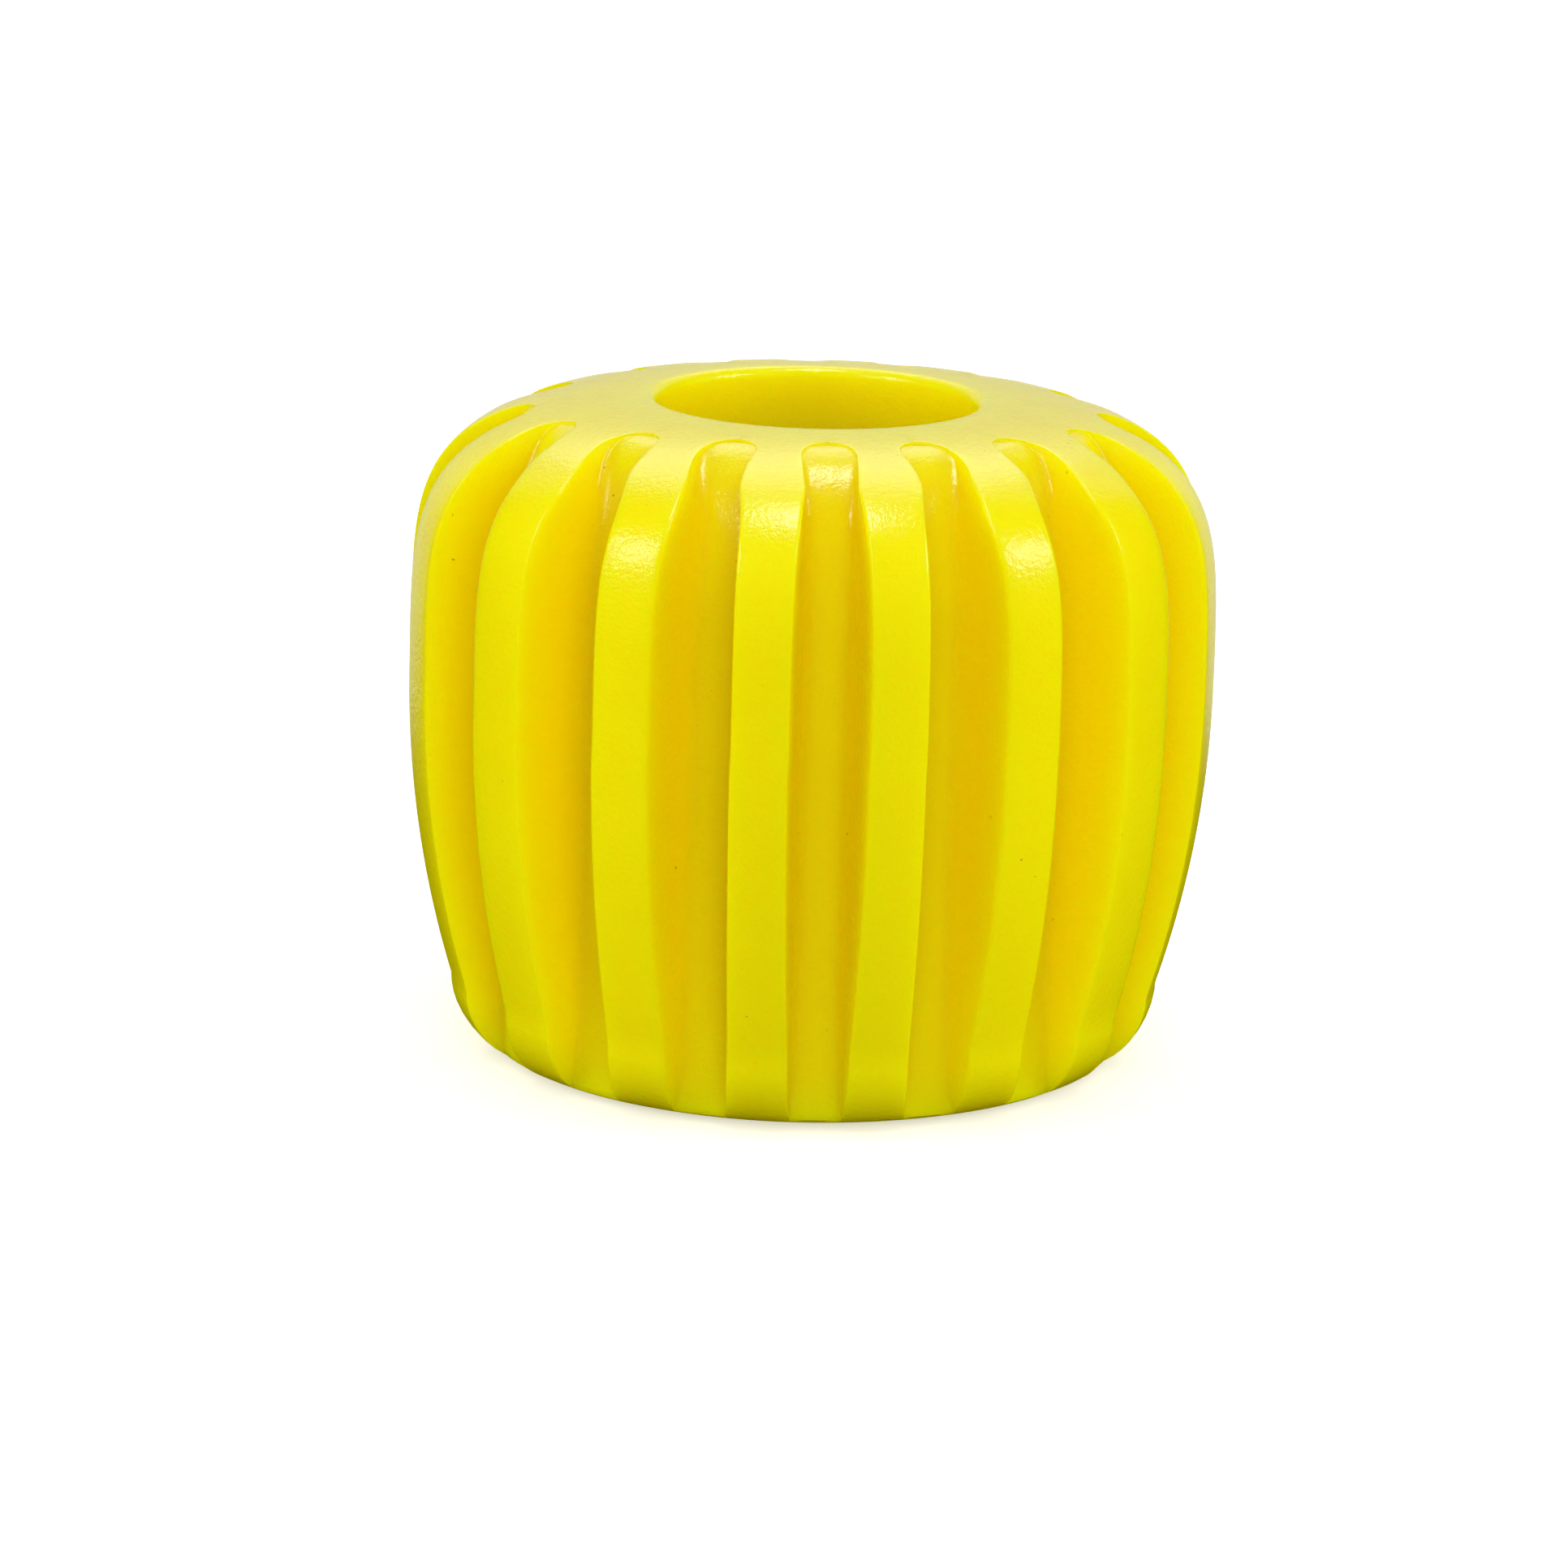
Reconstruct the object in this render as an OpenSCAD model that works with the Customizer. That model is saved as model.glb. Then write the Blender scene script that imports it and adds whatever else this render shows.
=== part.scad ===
// Fluted hand knob for a valve stem.
// A soft grip is moulded over a hard core. A square brass socket in the core's web
// drives the stem. A lock nut, two washers and a spring hold the knob on the stem.
// Millimetres, +Z up along the stem, origin at the centre of the resting face.

/* [Grip] */
// Radius over the rib crests at the widest ring
crest_r = 24; // [22:0.5:30]
// Height of the widest ring, where the two mould halves meet
ring_z = 23; // [20:0.5:26]
// Rise of the domed shoulder above the widest ring
shoulder_rise = 16.5; // [16:0.5:20]
// Squareness of the shoulder, 2 being an ellipse
shoulder_power = 4.15; // [3:0.05:6]
// Radius of the arc that tapers the ribs down to the base
taper_r = 62; // [56:1:90]
// Radius of the rounded edge around the base
base_round = 3.6; // [2:0.1:3.8]
// Radius of the round opening in the top
top_bore_r = 9.5; // [9.2:0.1:11]
// Radius of the rounded rim of that opening
rim_round = 0.6; // [0.3:0.1:1]

/* [Flutes] */
// Number of finger flutes
flute_count = 16; // [12:4:16]
// Half opening of a flute in degrees, before the flutes are crowded
flute_half_deg = 6.55; // [5.5:0.05:7]
// How far the flutes are crowded together towards front and back, 1 being evenly spread
crowding = 0.84; // [0.8:0.01:1]
// How far a flank leans in from the rib's edge to the floor
flank_lean = 0.9; // [0.6:0.05:1]
// Radius of the flute floor at the widest ring
floor_r = 19.1; // [18.5:0.1:20]
// Radius of the flute floor at the base
floor_base_r = 18.8; // [18:0.1:19]
// Radius at which the front and back flutes end on the top face
front_end_r = 13; // [12.5:0.1:14]
// Radius at which the side flutes end on the top face
side_end_r = 16.6; // [13:0.1:17]

/* [Core] */
// Outer radius of the hard core
core_r = 14.5; // [14:0.1:15]
// Height of the hard core
core_h = 33; // [32.5:0.1:34]
// Radius of the core's upper recess, around nut and spring
recess_r = 9; // [8.8:0.1:9.2]
// Radius of the lower recess, which clears the valve's bonnet
bonnet_r = 12; // [11:0.1:12.4]
// Height of the underside of the core's web
web_z = 9; // [8.6:0.1:9.4]
// Thickness of the core's web
web_t = 5; // [4.6:0.1:5]
// Number of lugs that key the core into the grip
lug_count = 6; // [4:2:8]

/* [Drive socket] */
// Distance across the flats of the square hole
square_af = 6.6; // [6:0.1:6.8]
// Distance across the flats of the insert's hexagon
insert_af = 12; // [11.5:0.1:12.5]
// Radius of the insert's flange
flange_r = 8.2; // [7.8:0.1:9]
// Thickness of the insert's flange
flange_t = 1.2; // [1:0.1:1.5]

/* [Retaining hardware] */
// Outer radius of the washer under the spring
seat_washer_r = 8.5; // [8:0.1:8.6]
// Hole radius of the washer under the spring
seat_washer_hole_r = 4.9; // [4.85:0.05:5.1]
// Thickness of the washer under the spring
seat_washer_t = 0.8; // [0.6:0.1:1]
// Spring length at rest
spring_h = 10.4; // [10.2:0.1:10.4]
// Mean radius of the spring
spring_r = 6; // [5.9:0.1:6.4]
// Diameter of the spring wire
wire_d = 1.2; // [1:0.1:1.2]
// Number of turns, the closed end turns included
spring_turns = 5.5; // [5:0.5:5.5]
// Outer radius of the washer under the nut
nut_washer_r = 7.5; // [7:0.1:8]
// Hole radius of the washer under the nut
nut_washer_hole_r = 3.2; // [3.1:0.1:3.4]
// Thickness of the washer under the nut
nut_washer_t = 1; // [0.8:0.1:1]
// Distance across the flats of the lock nut
nut_af = 10; // [10:0.5:11]
// Height of the nut's hexagon
nut_hex_h = 4.4; // [4:0.1:4.4]
// Overall height of the nut with its collar
nut_h = 6; // [5.6:0.1:6]
// Radius of the nut's threaded hole
thread_r = 2.5; // [2.4:0.1:2.6]
// Outer radius of the nylon locking ring
lock_ring_r = 4.1; // [4:0.1:4.2]
// Thickness of the nylon locking ring
lock_ring_t = 1.3; // [1.1:0.1:1.3]

/* [Hidden] */
fine = 96;
through = 1;                                // how far a cutter runs past a face
web_top = web_z + web_t;
spring_z = web_top + seat_washer_t;
nut_washer_z = spring_z + spring_h;
nut_z = nut_washer_z + nut_washer_t;
lug_w = 3;
lug_proud = 1;
lug_z = 4;
lug_h = 26;
mouth_chamfer = 0.6;
draft_top_z = ring_z + 6.5;                 // where the flute floor starts to curve in
draft_top_r = floor_r - 0.3;
end_wall = 0.5;                             // height of the short wall at a flute's upper end
collar_r = 4.7;
lock_ring_hole_r = 2.8;
wire_sides = 8;
steps_per_turn = 16;
closed_rise = wire_d + 0.05;                // rise of one closed end turn

// Crest radius at a height between the base and the widest ring.
function taper(z) = crest_r - taper_r + sqrt(pow(taper_r, 2) - pow(ring_z - z, 2));

// Height of the domed shoulder at a radius.
function dome_z(r) =
    ring_z + shoulder_rise * pow(1 - pow(r / crest_r, shoulder_power), 1 / shoulder_power);

// A point on the dome, for a sweep of 0 at the widest ring to 90 at the axis.
function dome_point(a) =
    [crest_r * pow(cos(a), 2 / shoulder_power), ring_z + shoulder_rise * pow(sin(a), 2 / shoulder_power)];

// Outline of half of the grip's solid, before the flutes and the hollow are cut.
module crest_outline() {
    edge_r = taper(base_round) - base_round;
    rim_r = top_bore_r + rim_round;
    rim_z = dome_z(rim_r) - rim_round;
    base_edge = [for (a = [-90 : 22.5 : 0]) [edge_r + base_round * cos(a), base_round * (1 + sin(a))]];
    side = [for (i = [1 : 9]) let (z = base_round + (ring_z - base_round) * i / 10) [taper(z), z]];
    shoulder = [for (a = [0, 2, 8, 16, 26, 36, 46, 55, 63, 70, 76]) dome_point(a)];
    rim = [for (a = [90 : 22.5 : 180]) [rim_r + rim_round * cos(a), rim_z + rim_round * sin(a)]];
    polygon(concat([[top_bore_r, 0]], base_edge, side, shoulder, rim));
}

// Direction of an evenly spread angle after the crowding. 0 is the back and 90 a side.
function crowded(a) = atan2(cos(a), crowding * sin(a));

// Half opening of the flute at an evenly spread angle.
function half_deg(a) =
    ((crowded(a - flute_half_deg) - crowded(a + flute_half_deg) + 720) % 360) / 2;

// Radius at which the flute in a direction ends: the ends lie on an oval.
function end_r(a) = 1 / sqrt(pow(cos(a) / side_end_r, 2) + pow(sin(a) / front_end_r, 2));

// Everything outside the floor of a flute, as a half outline.
module flute_region(end_r) {
    floor_w = draft_top_r - end_r;
    floor_rise = dome_z(end_r) - end_wall - draft_top_z;
    far = crest_r + 2 * through;
    high = ring_z + shoulder_rise + 2 * through;
    bend = [for (a = [0 : 11.25 : 90]) [end_r + floor_w * cos(a), draft_top_z + floor_rise * sin(a)]];
    polygon(concat(
        [[floor_base_r, -through], [floor_base_r, 0], [floor_r, ring_z]],
        bend,
        [[end_r - 0.5, high], [far, high], [far, -through]]));
}

// One flute along +X: a radial slot with leaning flanks and a round upper end.
module flute_cutter(half_deg, end_r) {
    edge_w = crest_r * sin(half_deg);
    floor_w = edge_w - flank_lean;
    round_x = min(end_r + floor_w, floor_r);
    outer = crest_r + 3 * through;
    outer_w = edge_w + flank_lean / (crest_r - floor_r) * (outer - crest_r);
    intersection() {
        rotate_extrude($fn = fine) flute_region(end_r);
        translate([0, 0, -2 * through])
            linear_extrude(ring_z + shoulder_rise + 6 * through)
                union() {
                    translate([round_x, 0]) circle(r = floor_w, $fn = fine);
                    polygon([
                        [round_x, -floor_w], [floor_r, -floor_w], [outer, -outer_w],
                        [outer, outer_w], [floor_r, floor_w], [round_x, floor_w]]);
                }
    }
}

// Outside of the core with its keying lugs, which is also the grip's hollow.
module core_outside() {
    cylinder(h = core_h, r = core_r, $fn = fine);
    for (i = [0 : lug_count - 1])
        rotate(i * 360 / lug_count)
            translate([0, -lug_w / 2, lug_z])
                cube([core_r + lug_proud, lug_w, lug_h]);
}

module washer(r, hole_r, t) {
    difference() {
        cylinder(h = t, r = r, $fn = fine);
        translate([0, 0, -through]) cylinder(h = t + 2 * through, r = hole_r, $fn = fine);
    }
}

module hexagon(af, h) {
    cylinder(h = h, d = af / cos(30), $fn = 6);
}

// Soft fluted moulding with the round opening in its top.
module grip() {
    color("yellow")
        difference() {
            rotate_extrude($fn = fine) crest_outline();
            core_outside();
            for (i = [0 : flute_count - 1])
                let (even = i * 360 / flute_count, half = half_deg(even))
                let (direction = crowded(even + flute_half_deg) + half)
                rotate(direction) flute_cutter(half, end_r(direction));
        }
}

// Hard core: a recess for the nut above, one for the valve's bonnet below, a web between.
module hub_core() {
    color("dimgray")
        difference() {
            core_outside();
            translate([0, 0, web_top]) cylinder(h = core_h, r = recess_r, $fn = fine);
            translate([0, 0, -through]) cylinder(h = web_z + through, r = bonnet_r, $fn = fine);
            translate([0, 0, -0.01])
                cylinder(h = mouth_chamfer, r1 = bonnet_r + mouth_chamfer, r2 = bonnet_r, $fn = fine);
            hexagon(insert_af, web_top + through);
            translate([0, 0, web_z - through]) cylinder(h = flange_t + through, r = flange_r, $fn = fine);
        }
}

// Brass insert: a hexagon held by the web, a flush flange under it and a square hole through it.
module drive_insert() {
    color("goldenrod")
        difference() {
            union() {
                translate([0, 0, web_z]) hexagon(insert_af, web_t);
                translate([0, 0, web_z]) cylinder(h = flange_t, r = flange_r, $fn = fine);
            }
            translate([-square_af / 2, -square_af / 2, 0]) cube([square_af, square_af, web_top + through]);
        }
}

module seat_washer() {
    color("silver")
        translate([0, 0, web_top]) washer(seat_washer_r, seat_washer_hole_r, seat_washer_t);
}

// Height of the wire's centre after a number of turns: closed, open, closed.
function wire_z(t) =
    let (rise = spring_h - wire_d - 2 * closed_rise, open = spring_turns - 2)
    t < 1 ? t * closed_rise
    : t > spring_turns - 1 ? closed_rise + rise + (t - spring_turns + 1) * closed_rise
    : closed_rise + rise * (t - 1) / open;

// One ring of points around the wire.
function wire_ring(t) =
    [for (k = [0 : wire_sides - 1])
        let (a = 360 * k / wire_sides, r = spring_r + wire_d / 2 * cos(a))
        [r * cos(360 * t), r * sin(360 * t), wire_d / 2 * (1 + sin(a)) + wire_z(t)]];

// Compression spring with closed ends.
module spring() {
    rings = round(spring_turns * steps_per_turn);
    points = [for (i = [0 : rings]) each wire_ring(i / steps_per_turn)];
    walls = [for (i = [0 : rings - 1], k = [0 : wire_sides - 1])
        let (next = (k + 1) % wire_sides, low = i * wire_sides, high = low + wire_sides)
        [low + k, low + next, high + next, high + k]];
    first = [for (k = [wire_sides - 1 : -1 : 0]) k];
    last = [for (k = [0 : wire_sides - 1]) rings * wire_sides + k];
    color("lightsteelblue")
        translate([0, 0, spring_z]) polyhedron(points, concat([first], walls, [last]));
}

module nut_washer() {
    color("silver")
        translate([0, 0, nut_washer_z]) washer(nut_washer_r, nut_washer_hole_r, nut_washer_t);
}

// Hexagon nut with a round collar that holds the locking ring.
module lock_nut() {
    color("lightgray")
        translate([0, 0, nut_z])
            difference() {
                union() {
                    intersection() {
                        hexagon(nut_af, nut_hex_h);
                        cylinder(h = nut_hex_h, r1 = nut_af / 2 + 3.3, r2 = nut_af / 2 + 0.2, $fn = fine);
                    }
                    cylinder(h = nut_h, r = collar_r, $fn = fine);
                }
                translate([0, 0, -through]) cylinder(h = nut_h + 2 * through, r = thread_r, $fn = fine);
                translate([0, 0, nut_h - lock_ring_t - 0.2]) cylinder(h = nut_h, r = lock_ring_r, $fn = fine);
            }
}

// Nylon ring in the nut's collar that grips the thread.
module locking_ring() {
    color("white")
        translate([0, 0, nut_z + nut_h - lock_ring_t - 0.2]) washer(lock_ring_r, lock_ring_hole_r, lock_ring_t);
}

grip();
hub_core();
drive_insert();
seat_washer();
spring();
nut_washer();
lock_nut();
locking_ring();
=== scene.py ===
# %% [markdown]
# # A fluted hand knob, from its frame to its finish
# The knob is a soft yellow grip moulded over a hard black core. Inside it are a brass
# socket, a spring, two washers and a lock nut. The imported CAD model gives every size
# and place, and this script rebuilds what shows with rounder edges and real finishes.

# %% Load the frame
import math

import bmesh
import bpy
from mathutils import Matrix, Vector


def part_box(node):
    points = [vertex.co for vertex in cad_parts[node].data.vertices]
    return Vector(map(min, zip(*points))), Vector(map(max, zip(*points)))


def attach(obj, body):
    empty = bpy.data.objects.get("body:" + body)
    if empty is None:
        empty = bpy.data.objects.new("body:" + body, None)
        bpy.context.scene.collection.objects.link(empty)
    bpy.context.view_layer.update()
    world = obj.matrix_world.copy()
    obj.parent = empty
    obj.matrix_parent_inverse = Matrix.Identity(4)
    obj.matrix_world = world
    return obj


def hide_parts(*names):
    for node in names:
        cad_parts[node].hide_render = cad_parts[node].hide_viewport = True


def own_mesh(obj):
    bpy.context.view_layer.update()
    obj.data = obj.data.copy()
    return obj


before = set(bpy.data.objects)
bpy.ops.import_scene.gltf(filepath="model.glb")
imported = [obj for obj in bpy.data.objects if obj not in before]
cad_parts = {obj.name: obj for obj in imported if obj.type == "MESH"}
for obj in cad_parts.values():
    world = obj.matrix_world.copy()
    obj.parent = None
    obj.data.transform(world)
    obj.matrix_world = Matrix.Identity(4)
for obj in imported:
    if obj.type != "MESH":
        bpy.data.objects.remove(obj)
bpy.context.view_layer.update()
mm = 0.001

# %% [markdown]
# ## Sizes
# The frame's boxes give the outer sizes. What a box can't say, such as how far the
# flutes reach in, is named here once, in the same units as the CAD model.

# %% Sizes of the grip
crest_r = 24 * mm                       # over the ribs at the widest ring
core_r = 14.5 * mm                      # the hard core inside
core_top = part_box("hub_core")[1].z
ring_z = 23 * mm                        # the widest ring, where the mould parts
shoulder_rise = 16.5 * mm
shoulder_power = 4.15
taper_r = 62 * mm
base_round = 4.8 * mm                   # a little rounder than in the CAD model
bore_r = 9.5 * mm
rim_round = 0.6 * mm
flute_count = 16
flute_half_deg = 6.55                   # half opening before the flutes are crowded
crowding = 0.84                         # flutes stand closer together at the front and back
flank_lean = 0.9 * mm                   # how far a flank leans in from edge to floor
floor_r = 19.1 * mm
floor_base_r = 18.8 * mm
floor_drop = 0.3 * mm                   # the floor moves in this much before its bend
front_end_r, side_end_r = 13.0 * mm, 16.6 * mm
end_wall = 0.15 * mm
end_stretch = 1.8                       # length of a flute's narrowing end over its half width
past_end = 0.8 * mm                     # the fluted rows go this far past the ends
floor_bend_z = ring_z + 6.5 * mm        # where the flute floor starts to curve in
print(f"grip: {2 * crest_r / mm:.1f} mm across, {flute_count} flutes")

# %% [markdown]
# ## The camera
# A long lens from 16 radii away keeps the knob's sides nearly parallel. The camera
# looks down 13 degrees on the widest ring, is turned 3 degrees to the left of a flute,
# and leans a little.

# %% Camera
azimuth, elevation, lean = math.radians(-3), math.radians(12.95), math.radians(1.49)
distance_in_radii = 16
frame_share = 0.25725                   # the ring's radius as a share of the frame's width
sensor_width = 36
camera_distance = distance_in_radii * crest_r
ring_centre = Vector((0, 0, ring_z))
back = Vector((math.sin(azimuth) * math.cos(elevation),
               -math.cos(azimuth) * math.cos(elevation), math.sin(elevation)))
level = Vector((math.cos(azimuth), math.sin(azimuth), 0))
upright = back.cross(level)
right = level * math.cos(lean) + upright * math.sin(lean)
up = upright * math.cos(lean) - level * math.sin(lean)
place = ring_centre + back * camera_distance
aim = ring_centre - right * (0.064 * crest_r) - up * (0.288 * crest_r)
back = (place - aim).normalized()
right = up.cross(back).normalized()
up = back.cross(right)

camera = bpy.data.objects.new("camera", bpy.data.cameras.new("camera"))
bpy.context.collection.objects.link(camera)
camera.matrix_world = Matrix.Translation(place) @ Matrix((right, up, back)).transposed().to_4x4()
camera.data.sensor_width = sensor_width
camera.data.lens = sensor_width * distance_in_radii * frame_share
camera.data.clip_start, camera.data.clip_end = 0.01, 20
bpy.context.scene.camera = camera
print(f"camera {camera_distance:.3f} m away, lens {camera.data.lens:.0f} mm")

# %% [markdown]
# ## Light and floor
# Small glossy things are shot on a white table in a bright room. Three broad fill
# lights carry the shading. They are kept out of reflections, which keeps the yellow
# deep. Four softboxes and a white wall behind do the opposite: they only show
# as reflections, the soft glints on the shoulder and the paler edges and top.

# %% Floor
def plain_material(name, colour, roughness, glow):
    """A material with one colour, for the floor only."""
    material = bpy.data.materials.new(name)
    material.use_nodes = True
    shader = material.node_tree.nodes["Principled BSDF"]
    shader.inputs["Base Color"].default_value = (*colour, 1)
    shader.inputs["Roughness"].default_value = roughness
    shader.inputs["Emission Color"].default_value = (1, 1, 1, 1)
    shader.inputs["Emission Strength"].default_value = glow
    return material


bm = bmesh.new()
bmesh.ops.create_grid(bm, x_segments=1, y_segments=1, size=4)
floor_mesh = bpy.data.meshes.new("floor")
bm.to_mesh(floor_mesh)
bm.free()
floor = bpy.data.objects.new("floor", floor_mesh)
floor_mesh.materials.append(plain_material("floor_white", (0.95, 0.95, 0.95), 0.9, 0.42))
floor.visible_glossy = False
floor.visible_diffuse = False           # no bounce, or it would light the foot too much
bpy.context.collection.objects.link(floor)

# %% Lights
def soft_light(name, side, height, distance, size, radiance, glint):
    """A square light turned to the knob. side and height are degrees from the front."""
    a, e = math.radians(side), math.radians(height)
    away = Vector((math.sin(a) * math.cos(e), -math.cos(a) * math.cos(e), math.sin(e)))
    data = bpy.data.lights.new(name, "AREA")
    data.shape = "SQUARE"
    data.size = size
    data.energy = radiance * math.pi * size * size
    light = bpy.data.objects.new(name, data)
    light.location = ring_centre + away * distance
    light.rotation_euler = away.to_track_quat("Z", "Y").to_euler()
    light.visible_glossy = glint
    light.visible_diffuse = not glint
    light.visible_camera = False
    bpy.context.collection.objects.link(light)


soft_light("left_fill", -85, 16, 0.9, 0.5, 3.5, glint=False)
soft_light("front_fill", 2, 16, 0.9, 0.5, 4.2, glint=False)
soft_light("right_fill", 85, 16, 0.9, 0.5, 3.5, glint=False)
soft_light("overhead_softbox", 0, 84, 0.5, 0.13, 20.0, glint=True)
soft_light("left_softbox", -60, 35, 0.55, 0.12, 16.0, glint=True)
soft_light("right_softbox", 70, 34, 0.55, 0.12, 16.0, glint=True)
soft_light("wall_behind", 180, 25, 0.9, 1.5, 0.7, glint=True)
soft_light("back_softbox", 180, 50, 0.8, 0.55, 1.6, glint=True)

world = bpy.data.worlds.new("studio")
world.use_nodes = True
nodes, links = world.node_tree.nodes, world.node_tree.links
background = nodes["Background"]
background.inputs["Color"].default_value = (1, 1, 1, 1)
direction = nodes.new("ShaderNodeTexCoord")
split = nodes.new("ShaderNodeSeparateXYZ")
room = nodes.new("ShaderNodeMapRange")  # dimmer light from below than from above
room.inputs["From Min"].default_value = -0.4
room.inputs["From Max"].default_value = 0.4
room.inputs["To Min"].default_value = 0.24
room.inputs["To Max"].default_value = 0.62
links.new(direction.outputs["Generated"], split.inputs[0])
links.new(split.outputs["Z"], room.inputs["Value"])
links.new(room.outputs[0], background.inputs["Strength"])
world.cycles_visibility.glossy = False
bpy.context.scene.world = world
bpy.context.scene.view_settings.view_transform = "Standard"
print("8 soft lights and a bright white room")

# %% [markdown]
# ## A little language for shader maths
# Material patterns are sums and products of noises. `Value` wraps one output socket
# and overloads the operators, so `0.4 + 0.1 * noise` adds the Math nodes by itself.
# `Shader` makes any other node: its settings first, then what goes into its sockets.

# %% Shader helpers
class Value:
    """A number that varies over the surface."""

    def __init__(self, shader, socket):
        self.shader, self.socket = shader, socket

    def math(self, operation, *others):
        return self.shader.node("Math", {"operation": operation}, [self, *others])

    def __add__(self, other):
        return self.math("ADD", other)

    def __mul__(self, other):
        return self.math("MULTIPLY", other)

    __radd__, __rmul__ = __add__, __mul__

    def step(self, low, high):
        """0 under low, 1 over high, and smooth in between."""
        settings = {"interpolation_type": "SMOOTHSTEP"}
        inputs = {"Value": self, "From Min": low, "From Max": high}
        return self.shader.node("MapRange", settings, inputs)


class Shader:
    """A material's node tree, with its Principled shader."""

    def __init__(self, name):
        self.material = bpy.data.materials.new(name)
        self.material.use_nodes = True
        self.tree = self.material.node_tree
        self.principled = self.tree.nodes["Principled BSDF"]
        self.place = self.node("TexCoord", out="Object")

    def node(self, kind, settings=None, inputs=None, out=0):
        made = self.tree.nodes.new("ShaderNode" + kind)
        for key, value in (settings or {}).items():
            setattr(made, key, value)
        pairs = inputs.items() if isinstance(inputs, dict) else enumerate(inputs or [])
        for key, value in pairs:
            self.feed(made.inputs[key], value)
        return Value(self, made.outputs[out])

    def feed(self, socket, value):
        if isinstance(value, Value):
            self.tree.links.new(value.socket, socket)
        else:
            socket.default_value = value

    def set(self, **inputs):
        """Sets or links the Principled shader's sockets, named with _ for a space."""
        for key, value in inputs.items():
            self.feed(self.principled.inputs[key.replace("_", " ")], value)

    def noise(self, size, detail=2.0, rough=0.5, place=None):
        """Cloudy noise whose blobs are about size across, from 0 to 1."""
        inputs = {"Vector": place or self.place, "Scale": 1 / size, "Detail": detail,
                  "Roughness": rough}
        return self.node("TexNoise", None, inputs)

    def mix(self, factor, first, second):
        """first where factor is 0 and second where it is 1. Both are colours."""
        made = self.tree.nodes.new("ShaderNodeMix")
        made.data_type = "RGBA"
        for key, value in ((0, factor), (6, first), (7, second)):
            self.feed(made.inputs[key], value)
        return Value(self, made.outputs[2])

    def bump(self, height, distance):
        """A normal tilted by a pattern of heights from 0 to distance."""
        return self.node("Bump", None, {"Height": height, "Distance": distance, "Strength": 1.0})

    def stretched(self, x, y, z):
        """Object coordinates with each axis multiplied, for grain that runs one way."""
        return self.node("Mapping", None, {"Vector": self.place, "Scale": (x, y, z)})


def rgb(red, green, blue):
    """A linear colour as the sockets take it."""
    return (red, green, blue, 1.0)


print("shader helpers ready")

# %% [markdown]
# ## Finish of the grip
# Soft moulded plastic is not one flat yellow. Light goes a short way into it, so
# hollows glow golden. That glow is also painted into the colour: the grip's mesh
# carries an attribute that says how deep below the ribs a point lies, and deeper
# points get a brighter, more golden colour, a painted glow of light bounced round the
# flutes and the opening. The skin has fine orange peel that only shows in
# reflections, faint clouds in the pigment, and a few specks of dust.

# %% Soft yellow plastic
def soft_yellow():
    """Translucent yellow, with a painted golden glow in the hollows, and an orange-peel skin."""
    s = Shader("soft_yellow_plastic")
    clouds = s.noise(9 * mm, 3.0)
    mottle = s.noise(0.9 * mm, 2.0)
    tint = clouds.step(0.35, 0.7) * 0.7 + mottle * 0.3
    yellow = s.mix(tint, rgb(0.94, 0.795, 0.0004), rgb(0.965, 0.828, 0.0006))
    # Painted glow: the deeper a point lies, the brighter and more golden its colour, standing in for
    # light bounced round inside the flutes and the opening.
    hollow = s.node("Attribute", {"attribute_name": "hollow"}, out="Fac")
    painted_glow = s.mix(hollow, yellow, rgb(0.99, 0.77, 0.0004))
    dusty = s.noise(5 * mm, 1.0).step(0.55, 0.7)
    speck = s.noise(0.34 * mm, 0.0).step(0.85, 0.88) * dusty
    s.set(Base_Color=s.mix(speck, painted_glow, rgb(0.42, 0.30, 0.03)))
    peel = s.noise(0.34 * mm, 2.0, 0.6)
    grain = s.noise(0.09 * mm, 2.0)
    s.set(Roughness=0.16 + 0.08 * clouds + 0.05 * mottle)
    s.set(Normal=s.bump(peel + grain * 0.15, 0.045 * mm))
    s.set(IOR=1.42, Subsurface_Weight=0.85, Subsurface_Scale=1.0)
    s.set(Subsurface_Radius=(4.2 * mm, 2.4 * mm, 0.1 * mm))
    return s.material


yellow_plastic = soft_yellow()
print("made", yellow_plastic.name)

# %% [markdown]
# ## Finishes inside the knob
# Glass-filled nylon is matt and slightly fibrous. Stamped and turned metal has grain
# that follows how it was made: rings on a turned nut, straight lines on a washer.

# %% Core, brass, steel and nylon
def filled_nylon():
    """Matt black plastic with short glass fibres under its skin."""
    s = Shader("filled_nylon")
    fibres = s.noise(0.25 * mm, 3.0, 0.6, s.stretched(1, 1, 0.25))
    clouds = s.noise(5 * mm, 2.0)
    dark, light = rgb(0.020, 0.020, 0.022), rgb(0.045, 0.045, 0.048)
    s.set(Base_Color=s.mix(fibres.step(0.4, 0.8), dark, light))
    s.set(Roughness=0.48 + 0.15 * clouds + 0.1 * fibres)
    s.set(Normal=s.bump(fibres, 0.015 * mm))
    return s.material


def metal(name, dark, light, grain_place, roughness):
    """Bare metal with machining grain and faint stains."""
    s = Shader(name)
    grain = s.noise(0.12 * mm, 3.0, 0.6, grain_place(s))
    stains = s.noise(3 * mm, 3.0)
    s.set(Base_Color=s.mix(stains.step(0.35, 0.75), dark, light), Metallic=1.0)
    s.set(Roughness=roughness + 0.18 * grain + 0.1 * stains)
    s.set(Normal=s.bump(grain, 0.006 * mm))
    return s.material


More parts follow.
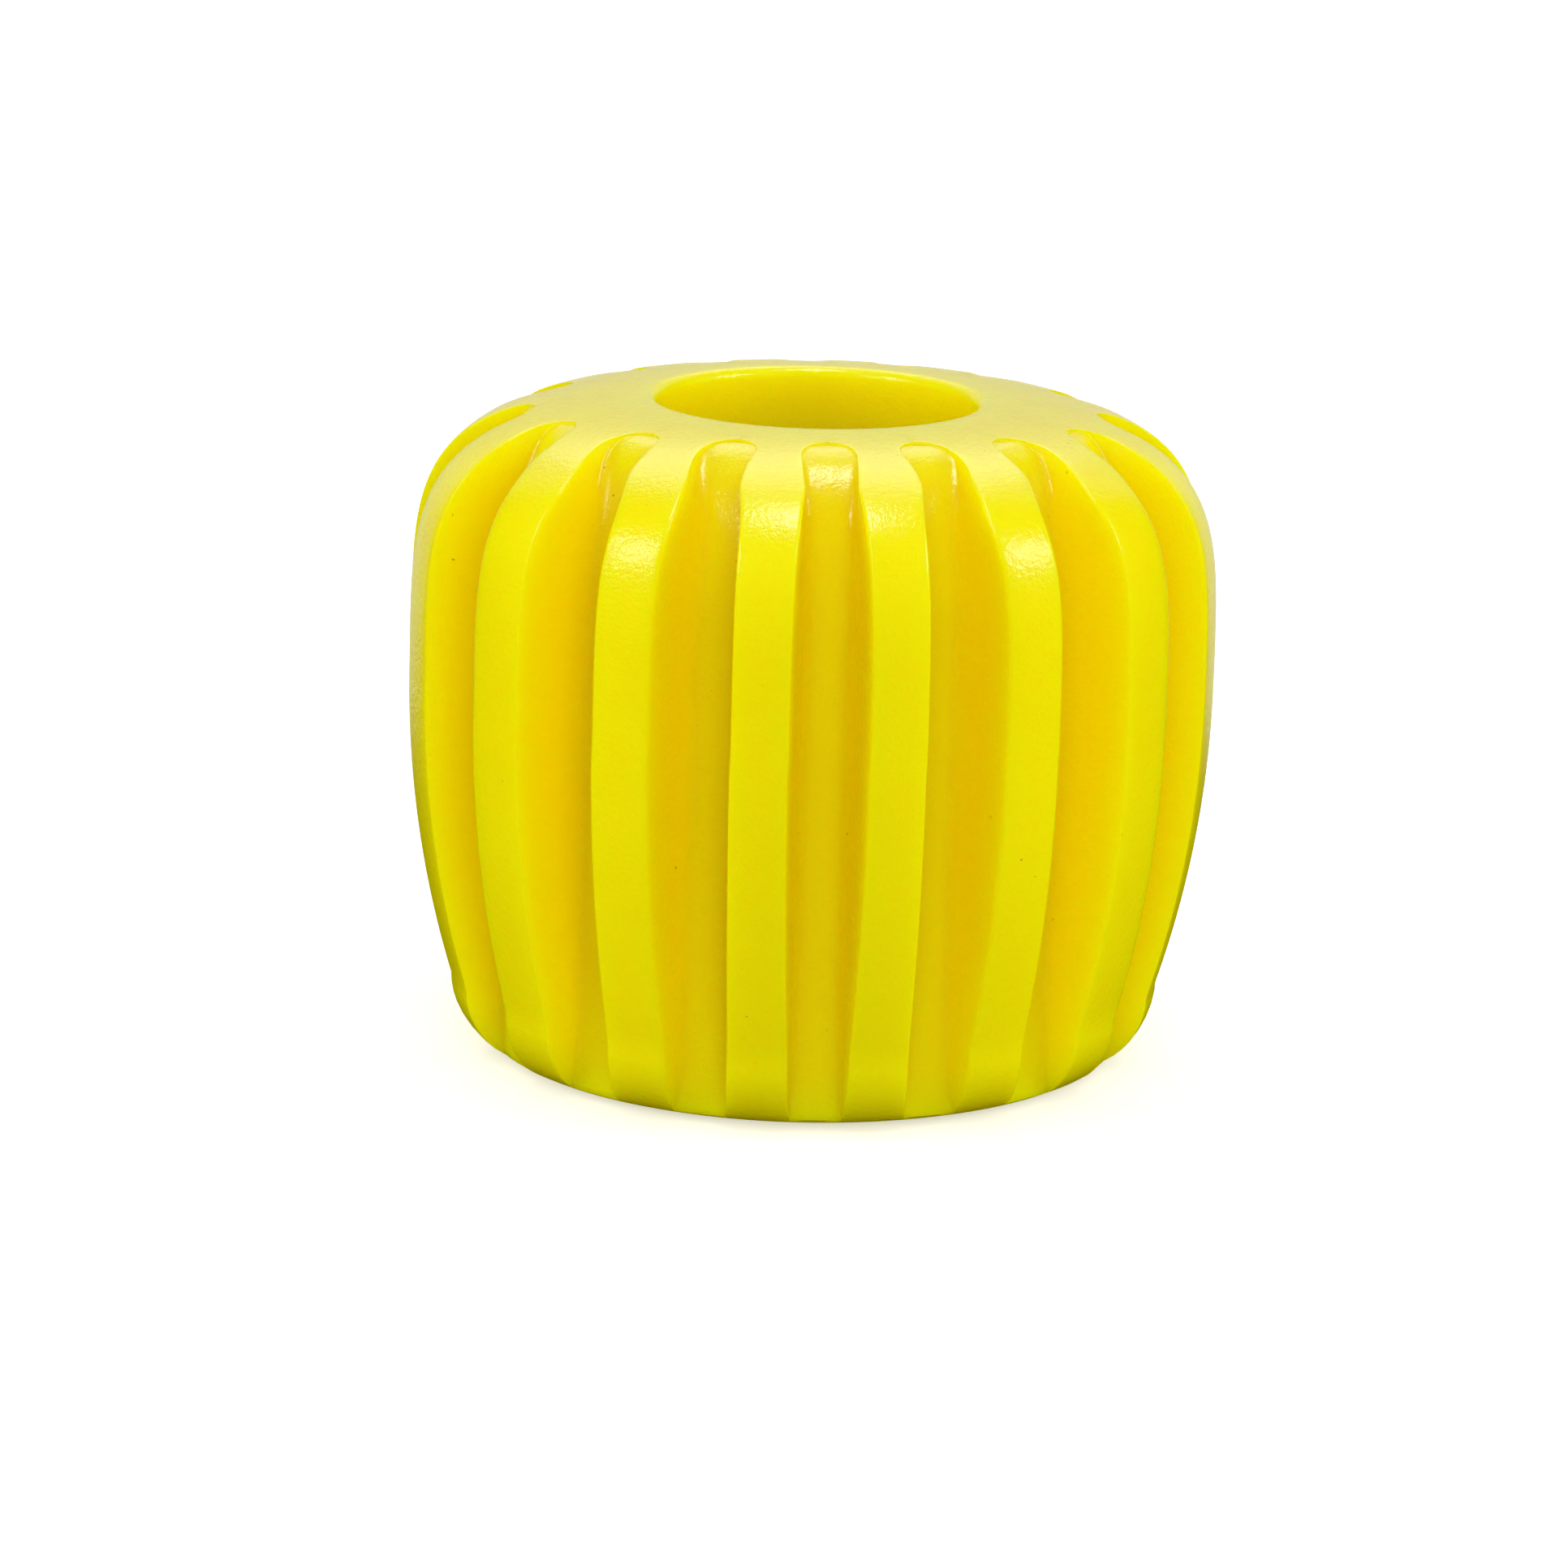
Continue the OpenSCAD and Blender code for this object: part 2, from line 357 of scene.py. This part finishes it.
def turned(s):
    """Coordinates for grain in rings: distance from the axis, and height."""
    flat = s.node("VectorMath", {"operation": "MULTIPLY"}, [s.place, (1, 1, 0)])
    radius = s.node("VectorMath", {"operation": "LENGTH"}, [flat], out="Value")
    height = s.node("SeparateXYZ", None, [s.place], out="Z")
    return s.node("CombineXYZ", None, [radius, 0.0, height])


def natural_nylon():
    """Milky uncoloured plastic, a little translucent."""
    s = Shader("natural_nylon")
    clouds = s.noise(1.2 * mm, 2.0)
    s.set(Base_Color=s.mix(clouds, rgb(0.74, 0.73, 0.66), rgb(0.82, 0.81, 0.75)))
    s.set(Roughness=0.38 + 0.12 * clouds, Normal=s.bump(clouds, 0.01 * mm))
    s.set(Subsurface_Weight=0.3, Subsurface_Scale=1.0)
    s.set(Subsurface_Radius=(1.0 * mm, 0.9 * mm, 0.7 * mm))
    return s.material


black_nylon = filled_nylon()
brass = metal("machined_brass", rgb(0.60, 0.38, 0.12), rgb(0.78, 0.55, 0.22), turned, 0.22)
turned_steel = metal("turned_steel", rgb(0.48, 0.48, 0.47), rgb(0.62, 0.62, 0.61), turned, 0.20)
stamped_steel = metal("stamped_steel", rgb(0.45, 0.45, 0.44), rgb(0.60, 0.60, 0.58),
                      lambda s: s.stretched(1, 0.08, 1), 0.25)
wire_steel = metal("wire_steel", rgb(0.42, 0.43, 0.45), rgb(0.58, 0.59, 0.61), turned, 0.22)
white_nylon = natural_nylon()
print("made 6 finishes for the inside")

# %% [markdown]
# ## The grip's outline
# Half a section through a rib gives the crest, from the resting face up the side and
# over the shoulder. A second line gives the floor of a flute. It has a point for each
# point of the crest, so a point anywhere on the flank lies between two partners.

# %% Crest outline
def taper(z):
    """Crest radius between the foot and the widest ring."""
    return crest_r - taper_r + math.sqrt(taper_r ** 2 - (ring_z - z) ** 2)


def dome(share):
    """A point on the shoulder: share 0 is the widest ring, 1 the axis."""
    angle, power = share * math.pi / 2, 2 / shoulder_power
    rise = shoulder_rise * math.sin(angle) ** power
    return Vector((crest_r * math.cos(angle) ** power, ring_z + rise))


def dome_z(r):
    """Height of the shoulder at a radius."""
    return ring_z + shoulder_rise * (1 - (r / crest_r) ** shoulder_power) ** (1 / shoulder_power)


def arc(centre_r, centre_z, radius_r, radius_z, start, end, count):
    """Points on part of an ellipse, from one angle in degrees to another."""
    points = []
    for i in range(count):
        a = math.radians(start + (end - start) * i / (count - 1))
        points.append(Vector((centre_r + radius_r * math.cos(a), centre_z + radius_z * math.sin(a))))
    return points


def evenly(points, count):
    """count points at equal distances along a line of points."""
    lengths = [0.0]
    for a, b in zip(points, points[1:]):
        lengths.append(lengths[-1] + (b - a).length)
    found, k = [], 0
    for i in range(count):
        wanted = lengths[-1] * i / (count - 1)
        while k < len(points) - 2 and lengths[k + 1] < wanted:
            k += 1
        share = (wanted - lengths[k]) / (lengths[k + 1] - lengths[k])
        found.append(points[k].lerp(points[k + 1], share))
    return found


def side_point(z):
    """The crest below the shoulder's bend."""
    if z <= ring_z:
        return Vector((taper(z), z))
    rise = ((z - ring_z) / shoulder_rise) ** shoulder_power
    return Vector((crest_r * (1 - rise) ** (1 / shoulder_power), z))


edge_rows, side_rows, bend_rows = 13, 30, 52
fine = 900
shoulder = [dome((i / fine) ** 2) for i in range(fine + 1)]
edge = arc(taper(base_round) - base_round, base_round, base_round, base_round, -90, 0, edge_rows)
side = []
for i in range(1, side_rows):
    side.append(side_point(base_round + (floor_bend_z - base_round) * i / side_rows))
upper = [p for p in shoulder if p.y >= floor_bend_z and p.x >= front_end_r - past_end]
bend = evenly(upper, bend_rows)
crest_line = edge + side + bend
bend_start = len(edge + side)
print(f"{len(crest_line)} rows from the foot to the flutes' upper ends")

# %% [markdown]
# ## Sixteen flutes
# The flutes are crowded together a little towards the front and back, so those at the
# sides are wider. Their upper ends lie on an oval round the opening, and turn back
# towards even spacing on the way there. A flute is a flat floor, a wide soft fillet, a
# leaning flank and a tight rounded edge at the rib. This is written once for half a
# flute as four numbers a point: the share of the floor's half width, the share of the
# flank's lean, an offset in mm, and how far the point is from floor to crest.

# %% Flutes
half_section = [
    (0.0, 0.0, 0.0, 0.0), (0.36, 0.0, 0.0, 0.0), (0.66, 0.0, 0.0, 0.0), (0.80, 0.0, 0.0, 0.02),
    (0.92, 0.0, 0.0, 0.06), (1.0, 0.04, 0.0, 0.13), (1.0, 0.23, 0.0, 0.24), (1.0, 0.45, 0.0, 0.43),
    (1.0, 0.68, 0.0, 0.67), (1.0, 0.90, 0.0, 0.90), (1.0, 1.0, -0.02, 0.95), (1.0, 1.0, 0.04, 0.983),
    (1.0, 1.0, 0.12, 0.997), (1.0, 1.0, 0.23, 1.0)]
crest_shares = (0.34, 0.67)             # the columns that lie on a rib between edge and middle
steps = len(half_section) + len(crest_shares)
columns = 2 * steps
relax_start, relax_end, relax_share = 22 * mm, 16 * mm, 0.8
end_gap = 0.05                          # the end row keeps this share of the floor's width


def crowded(degrees):
    """Direction of an evenly spread angle from the front, after the crowding."""
    turns = round(degrees / 360)
    a = math.radians(degrees - 360 * turns)
    return 360 * turns + math.degrees(math.atan2(crowding * math.sin(a), math.cos(a)))


def relaxed(degrees, r):
    """A crowded direction, turned back towards even spacing on the way to the opening."""
    turns = round(degrees / 360)
    a = math.radians(degrees - 360 * turns)
    even = 360 * turns + math.degrees(math.atan2(math.sin(a), crowding * math.cos(a)))
    share = min(1, max(0, (relax_start - r) / (relax_start - relax_end)))
    return degrees + (even - degrees) * relax_share * share * share * (3 - 2 * share)


class Flute:
    """One flute: its direction, its edges and its floor."""

    def __init__(self, number):
        even, pitch = number * 360 / flute_count, 180 / flute_count
        low, high = crowded(even - flute_half_deg), crowded(even + flute_half_deg)
        self.middle, half = (low + high) / 2, (high - low) / 2
        self.rib = {-1: self.middle - crowded(even - pitch), 1: crowded(even + pitch) - self.middle}
        self.floor_w = crest_r * math.sin(math.radians(half)) - flank_lean
        a = math.radians(self.middle)
        end_r = 1 / math.hypot(math.sin(a) / side_end_r, math.cos(a) / front_end_r)
        bend_range = range(bend_start, len(crest_line))
        self.end = min(bend_range, key=lambda i: abs(crest_line[i].x - end_r))
        self.end_r = crest_line[self.end].x
        self.round_r = min(self.end_r + end_stretch * self.floor_w, floor_r)
        self.floor_line = [self.side_floor(p) for p in crest_line[:bend_start]]
        self.floor_line += self.bend_floor()

    def side_floor(self, crest):
        """The floor's point level with a crest point below the bend."""
        z = crest.y
        if z <= ring_z:
            r = floor_base_r + (floor_r - floor_base_r) * z / ring_z
        else:
            r = floor_r - floor_drop * (z - ring_z) / (floor_bend_z - ring_z)
        return Vector((min(r, crest.x), z))

    def bend_floor(self):
        """The floor's curved top, then the crest itself past the flute's end."""
        top_z = dome_z(self.end_r) - end_wall
        width = floor_r - floor_drop - self.end_r
        curve = arc(self.end_r, floor_bend_z, width, top_z - floor_bend_z, 0, 90, count=300)
        return evenly(curve, self.end - bend_start) + crest_line[self.end:]

    def half_width(self, r):
        """Half the slot's width at a radius, closing in a round end."""
        if r >= floor_r:
            return self.floor_w + flank_lean * (r - floor_r) / (crest_r - floor_r)
        gap = max(0, self.round_r - r) / (self.round_r - self.end_r)
        return self.floor_w * math.sqrt(max(end_gap ** 2, 1 - gap * gap))

    def point(self, i, side, step):
        """Radius, height and direction of a column at a row of the outline."""
        crest, floor_point = crest_line[i], self.floor_line[i]
        edge_w = self.half_width(crest.x)
        floor_w = min(edge_w, self.half_width(floor_point.x))
        on_floor, on_flank, offset, share = half_section[min(step, len(half_section) - 1)]
        p = floor_point.lerp(crest, share)
        width = on_floor * floor_w + on_flank * (edge_w - floor_w) + offset * mm
        angle = math.degrees(math.asin(width / p.x))
        if step >= len(half_section):
            past = (crest_shares + (1.0,))[step - len(half_section)]
            angle += (self.rib[side] - angle) * past
        return p.x, p.y, relaxed(self.middle + side * angle, crest.x)


flutes = [Flute(k) for k in range(flute_count)]
print("flute widths in mm:", [round(2 * f.half_width(crest_r) / mm, 2) for f in flutes[:5]])

# %% [markdown]
# ## Spinning the grip
# The whole section, hollow included, is one closed line. It is spun once round, and
# then each point is moved to its place on a rib or in a flute. Each point's row says
# where it came from on the line, and its direction says which flute it belongs to.

# %% Helpers that make a piece
def spun(outline, turn_steps):
    """A closed line of (radius, height) points, spun round the Z axis."""
    bm = bmesh.new()
    row = bm.verts.layers.int.new("row")
    ring = [bm.verts.new((p.x, 0, p.y)) for p in outline]
    for i, v in enumerate(ring):
        v[row] = i
    edges = [bm.edges.new((a, b)) for a, b in zip(ring, ring[1:] + ring[:1])]
    bmesh.ops.spin(bm, geom=ring + edges, cent=(0, 0, 0), axis=(0, 0, 1), angle=2 * math.pi,
                   steps=turn_steps, use_merge=True)
    return bm


def finish_piece(bm, name, material, body, node, sharp=40):
    """Turns a bmesh into a smooth-shaded piece that rides on a body and stands for a node."""
    bmesh.ops.remove_doubles(bm, verts=bm.verts[:], dist=0.0005 * mm)
    bmesh.ops.recalc_face_normals(bm, faces=bm.faces[:])
    for face in bm.faces:
        face.smooth = True
    mesh = bpy.data.meshes.new(name)
    bm.to_mesh(mesh)
    bm.free()
    mesh.set_sharp_from_angle(angle=math.radians(sharp))
    mesh.materials.append(material)
    piece = bpy.data.objects.new(name, mesh)
    bpy.context.collection.objects.link(piece)
    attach(piece, body)
    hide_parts(node)
    print(f"{name}: {sum(len(p.vertices) - 2 for p in mesh.polygons)} triangles")
    return piece


# %% Grip
rim_r = bore_r + rim_round
top_face = [p for p in shoulder if rim_r < p.x < crest_line[-1].x]
rim_z = top_face[-1].y - rim_round
inside = arc(rim_r, rim_z, rim_round, rim_round, 90, 180, 7)
bore_rows = [Vector((bore_r, core_top + (rim_z - core_top) * i / 4)) for i in (3, 2, 1, 0)]
inside += bore_rows + [Vector((core_r, core_top)), Vector((core_r, 0))]
outline = crest_line + evenly([crest_line[-1]] + top_face, 9)[1:-1] + inside
# Painted glow: points deep in the flutes get the brighter golden colour of bounced light, fully at this
# depth.
hollow_depth = 3 * mm                   # this far below the ribs the colour is fully golden
deep_rows = 7                           # the last rows of the line, inside the opening
mismatch = Vector((-0.05 * mm, 0, 0))   # the lower half of the mould sits a hair to one side
mismatch_top, mismatch_foot = 0.3 * mm, 2 * mm

bm = spun(outline, columns * flute_count)
row = bm.verts.layers.int["row"]
# The attribute that sets the painted golden glow: by depth on the fluted rows, and in full on the deep
# rows inside the opening.
hollow = bm.verts.layers.float.new("hollow")
for v in bm.verts:
    column = round(math.degrees(math.atan2(v.co.y, v.co.x)) / 360 * columns * flute_count)
    sector, column = divmod(column + steps - 1, columns)
    side = 1 if column >= steps - 1 else -1
    step = abs(column - steps + 1)
    flute = flutes[sector % flute_count]
    if v[row] < len(crest_line):
        r, z, direction = flute.point(v[row], side, step)
        v[hollow] = min(1, (crest_line[v[row]] - Vector((r, z))).length / hollow_depth)
    else:
        r, z = outline[v[row]]
        v[hollow] = 1 if v[row] >= len(outline) - deep_rows else 0
        direction = relaxed(flute.middle + side * flute.rib[side] * step / steps, 0)
    a = math.radians(direction - 90)
    v.co = (r * math.cos(a), r * math.sin(a), z)
    if v[row] < bend_start and z < ring_z:
        share = abs(v.co.y / r) * min(1, (ring_z - z) / mismatch_top) * min(1, z / mismatch_foot)
        v.co += mismatch * share
grip = finish_piece(bm, "fluted_grip", yellow_plastic, "knob", "grip", sharp=60)

# %% [markdown]
# ## The hard parts inside
# The core, the socket, the washers, the nut and its ring have the right shape in the
# frame already. They could be spun and cut again here, but a copy can't drift from the
# CAD model. Real edges are never knife sharp, so each copy has its loose triangles
# merged, its flat areas joined, and every sharp edge bevelled.

# %% Copies with eased edges
flat_deg, edge_deg = 0.5, 38            # flatter than the first is joined, sharper than the second eased


def eased(node, name, material, body, width):
    """A copy of a CAD node with its sharp edges bevelled."""
    bm = bmesh.new()
    bm.from_mesh(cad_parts[node].data)
    bmesh.ops.remove_doubles(bm, verts=bm.verts[:], dist=0.002 * mm)
    bmesh.ops.dissolve_limit(bm, angle_limit=math.radians(flat_deg), verts=bm.verts[:],
                             edges=bm.edges[:])
    inner = [e for e in bm.edges if len(e.link_faces) == 2]
    sharp = [e for e in inner if e.calc_face_angle() > math.radians(edge_deg)]
    bmesh.ops.bevel(bm, geom=sharp, offset=width, offset_type="OFFSET", segments=2, profile=0.5,
                    affect="EDGES", clamp_overlap=True, material=-1)
    piece = finish_piece(bm, name, material, body, node, sharp=50)
    return piece


eased("hub_core", "moulded_core", black_nylon, "knob", 0.25 * mm)
eased("drive_insert", "square_socket", brass, "knob", 0.15 * mm)
eased("seat_washer", "washer_under_spring", stamped_steel, "knob", 0.12 * mm)
eased("nut_washer", "washer_under_nut", stamped_steel, "nut", 0.15 * mm)
eased("lock_nut", "lock_nut_turned", turned_steel, "nut", 0.15 * mm)
eased("locking_ring", "nylon_ring", white_nylon, "nut", 0.15 * mm)

# %% [markdown]
# ## The spring
# A spring is a round wire wound on a helix, with its end turns wound flat so that it
# stands straight. A circle is spun with a small rise at each step, first flat, then
# open, then flat again.

# %% Spring
wire_r, coil_r = 0.6 * mm, 6 * mm
spring_low, spring_high = (corner.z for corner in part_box("spring"))
closed_turns, open_turns = 1, 3.5
closed_rise = 2 * wire_r + 0.05 * mm
open_rise = (spring_high - spring_low - 2 * wire_r - 2 * closed_rise) / open_turns
steps_a_turn = 44

bm = bmesh.new()
turn = Matrix.Translation((coil_r, 0, spring_low + wire_r)) @ Matrix.Rotation(math.pi / 2, 4, "X")
start = bmesh.ops.create_circle(bm, radius=wire_r, segments=14, matrix=turn)["verts"]
first = bm.faces.new(start)
ring = start + list(first.edges)
closed, opened = (closed_turns, closed_rise), (open_turns, open_rise)
for turns, rise in (closed, opened, closed):
    ring = bmesh.ops.spin(bm, geom=ring, cent=(0, 0, 0), axis=(0, 0, 1),
                          dvec=(0, 0, rise / steps_a_turn), angle=turns * 2 * math.pi,
                          steps=round(turns * steps_a_turn))["geom_last"]
    ring = [part for part in ring if not isinstance(part, bmesh.types.BMFace)]
bmesh.ops.contextual_create(bm, geom=[part for part in ring if isinstance(part, bmesh.types.BMVert)])
spring = finish_piece(bm, "wound_spring", wire_steel, "knob", "spring")
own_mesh(spring)
